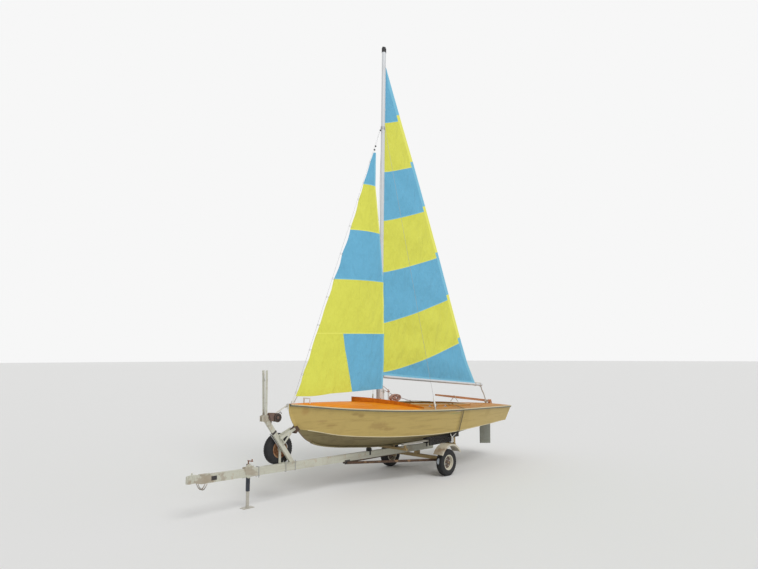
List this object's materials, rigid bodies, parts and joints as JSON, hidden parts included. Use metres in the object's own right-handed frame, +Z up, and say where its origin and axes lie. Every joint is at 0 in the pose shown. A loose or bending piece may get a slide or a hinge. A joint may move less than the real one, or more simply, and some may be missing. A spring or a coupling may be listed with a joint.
{
  "type": "sailing dinghy on a road trailer",
  "caption": "Hard-chine sailing dinghy with mast, boom, striped sails and rudder, standing on a road trailer with a jack, a winch post and a spare wheel.",
  "frame": {"origin": "on the ground, in the middle of the bounding box's bottom, which is at the foot of the mast", "axes": "+Z up along the mast, +Y towards the stern, -Y towards the bow and the trailer's coupler, +X towards the port side"},
  "size_m": [1.479, 6.524, 7.1968],
  "materials": {
    "topside_paint": "weathered cream paint on plywood",
    "bottom_paint": "worn olive-brown paint on plywood",
    "deck_varnish": "orange varnish",
    "dark_varnish": "dark varnish",
    "inside_varnish": "brown varnish inside the hull",
    "rail_plastic": "dull grey-blue",
    "spar_alloy": "satin",
    "steel_fitting": "dull",
    "stay_wire": "wire",
    "sailcloth": "striped woven cloth",
    "rudder_paint": "grey paint",
    "trailer_paint": "cream paint with rust",
    "jack_paint": "dark blue-grey paint",
    "bare_steel": "weathered galvanising",
    "bunk_cover": "dark carpet",
    "roller_rubber": "matt",
    "webbing": "faded webbing",
    "tyre": "matt",
    "rim_paint": "grimy off-white paint",
    "spare_rim_rust": "rusty",
    "black_cap": "black moulding",
    "axle_paint": "yellowish brown worn paint",
    "brace_paint": "dark brown rusty paint",
    "winch_paint": "reddish grey worn paint",
    "winch_dark": "dark brown"
  },
  "bodies": {
    "root": {"side_panel_port": "topside_paint", "side_panel_starboard": "topside_paint", "bottom_panel_port": "bottom_paint", "bottom_panel_starboard": "bottom_paint", "stem": "topside_paint", "keel": "bottom_paint", "transom": "topside_paint", "foredeck": "deck_varnish", "side_decks": "deck_varnish", "aft_deck": "deck_varnish", "coaming": "dark_varnish", "rub_rails": "rail_plastic", "splash_board": "dark_varnish", "bulkheads": "inside_varnish", "cockpit_floor": "inside_varnish", "board_trunk": "inside_varnish", "centreboard": "rudder_paint", "thwart": "inside_varnish", "bow_fittings": "steel_fitting", "rudder_gudgeons": "steel_fitting", "mast": "spar_alloy", "mast_fittings": "steel_fitting", "mast_cap": "black_cap", "mast_step": "spar_alloy", "forestay": "stay_wire", "shrouds": "stay_wire", "jib": "sailcloth", "drawbar": "trailer_paint", "coupler": "trailer_paint", "jack_bracket": "trailer_paint", "jack_body": "jack_paint", "winch_post": "trailer_paint", "frame_clamps": "steel_fitting", "winch_frame": "winch_paint", "winch_drum": "winch_dark", "winch_strap": "webbing", "bow_stop": "roller_rubber", "bow_stop_arms": "trailer_paint", "mast_crutch": "trailer_paint", "spare_tyre": "tyre", "spare_rim": "spare_rim_rust", "spare_carrier": "trailer_paint", "axle": "axle_paint", "mudguards": "rim_paint", "brace_tubes": "brace_paint", "cross_beams": "axle_paint", "chine_pads": "roller_rubber", "bunk_rails": "bare_steel", "bunk_pads": "bunk_cover", "keel_rollers": "roller_rubber", "tie_strap": "webbing"},
    "boom": {"boom": "spar_alloy", "mainsail": "sailcloth"},
    "rudder": {"rudder_blade": "rudder_paint", "rudder_head": "dark_varnish", "tiller": "dark_varnish"},
    "wheel_port": {"wheel_tyre_port": "tyre", "wheel_rim_port": "rim_paint"},
    "wheel_starboard": {"wheel_tyre_starboard": "tyre", "wheel_rim_starboard": "rim_paint"},
    "jack_leg": {"jack_leg": "bare_steel"}
  },
  "joints": [
    {"name": "boom_swing", "type": "hinge", "parent": "root", "child": "boom", "pos_m": [0, 0.05938, 1.568], "axis": [0, 0.0225, 0.9997], "range_deg": [-48, 48]},
    {"name": "rudder_steer", "type": "hinge", "parent": "root", "child": "rudder", "pos_m": [0, 3.10395, 0.8], "axis": [0, 0.2944, 0.9557], "range_deg": [-35, 35]},
    {"name": "wheel_port_spin", "type": "hinge", "parent": "root", "child": "wheel_port", "pos_m": [0.6045, 0.921, 0.206], "axis": [1, 0, 0], "continuous": true},
    {"name": "wheel_starboard_spin", "type": "hinge", "parent": "root", "child": "wheel_starboard", "pos_m": [-0.6045, 0.921, 0.206], "axis": [1, 0, 0], "continuous": true},
    {"name": "jack_slide", "type": "slide", "parent": "root", "child": "jack_leg", "axis": [0, 0, 1], "range_m": [0, 0.19]}
  ]
}
